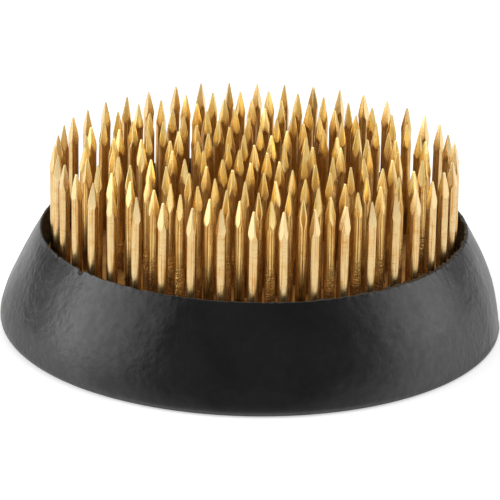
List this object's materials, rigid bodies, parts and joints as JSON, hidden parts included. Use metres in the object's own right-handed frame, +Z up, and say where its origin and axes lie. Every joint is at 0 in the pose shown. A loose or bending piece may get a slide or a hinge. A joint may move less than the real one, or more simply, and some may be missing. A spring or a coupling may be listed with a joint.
{
  "type": "flower frog",
  "caption": "Round flower frog (kenzan): heavy metal disc set with upright brass pins, standing in a stretch-on black rubber ring.",
  "frame": {"origin": "centre of the rubber ring's foot, on the surface the object stands on", "axes": "+Z up along the pins; +X along one of the six spokes of the pin pattern"},
  "size_m": [0.071, 0.071, 0.0267],
  "materials": {
    "pin_brass": "drawn brass wire, bright with brown tarnish low down",
    "sheet_brass": "dull rolled brass, darkened between the pins",
    "weight_lead": "dull cast lead alloy, slightly mottled",
    "ring_rubber": "black moulded rubber, satin, slightly uneven"
  },
  "bodies": {
    "ring": {"rubber_ring": "ring_rubber"},
    "holder": {"base_weight": "weight_lead", "face_sheet": "sheet_brass", "pin_centre": "pin_brass", "pins_circle_1_sector_1": "pin_brass", "pins_circle_1_sector_2": "pin_brass", "pins_circle_1_sector_3": "pin_brass", "pins_circle_1_sector_4": "pin_brass", "pins_circle_1_sector_5": "pin_brass", "pins_circle_1_sector_6": "pin_brass", "pins_circle_2_sector_1": "pin_brass", "pins_circle_2_sector_2": "pin_brass", "pins_circle_2_sector_3": "pin_brass", "pins_circle_2_sector_4": "pin_brass", "pins_circle_2_sector_5": "pin_brass", "pins_circle_2_sector_6": "pin_brass", "pins_circle_3_sector_1": "pin_brass", "pins_circle_3_sector_2": "pin_brass", "pins_circle_3_sector_3": "pin_brass", "pins_circle_3_sector_4": "pin_brass", "pins_circle_3_sector_5": "pin_brass", "pins_circle_3_sector_6": "pin_brass", "pins_circle_4_sector_1": "pin_brass", "pins_circle_4_sector_2": "pin_brass", "pins_circle_4_sector_3": "pin_brass", "pins_circle_4_sector_4": "pin_brass", "pins_circle_4_sector_5": "pin_brass", "pins_circle_4_sector_6": "pin_brass", "pins_circle_5_sector_1": "pin_brass", "pins_circle_5_sector_2": "pin_brass", "pins_circle_5_sector_3": "pin_brass", "pins_circle_5_sector_4": "pin_brass", "pins_circle_5_sector_5": "pin_brass", "pins_circle_5_sector_6": "pin_brass", "pins_circle_6_sector_1": "pin_brass", "pins_circle_6_sector_2": "pin_brass", "pins_circle_6_sector_3": "pin_brass", "pins_circle_6_sector_4": "pin_brass", "pins_circle_6_sector_5": "pin_brass", "pins_circle_6_sector_6": "pin_brass", "pins_circle_7_sector_1": "pin_brass", "pins_circle_7_sector_2": "pin_brass", "pins_circle_7_sector_3": "pin_brass", "pins_circle_7_sector_4": "pin_brass", "pins_circle_7_sector_5": "pin_brass", "pins_circle_7_sector_6": "pin_brass"}
  },
  "joints": [
    {"name": "holder_lift", "type": "slide", "parent": "ring", "child": "holder", "axis": [0, 0, 1], "range_m": [0, 0.03]}
  ]
}
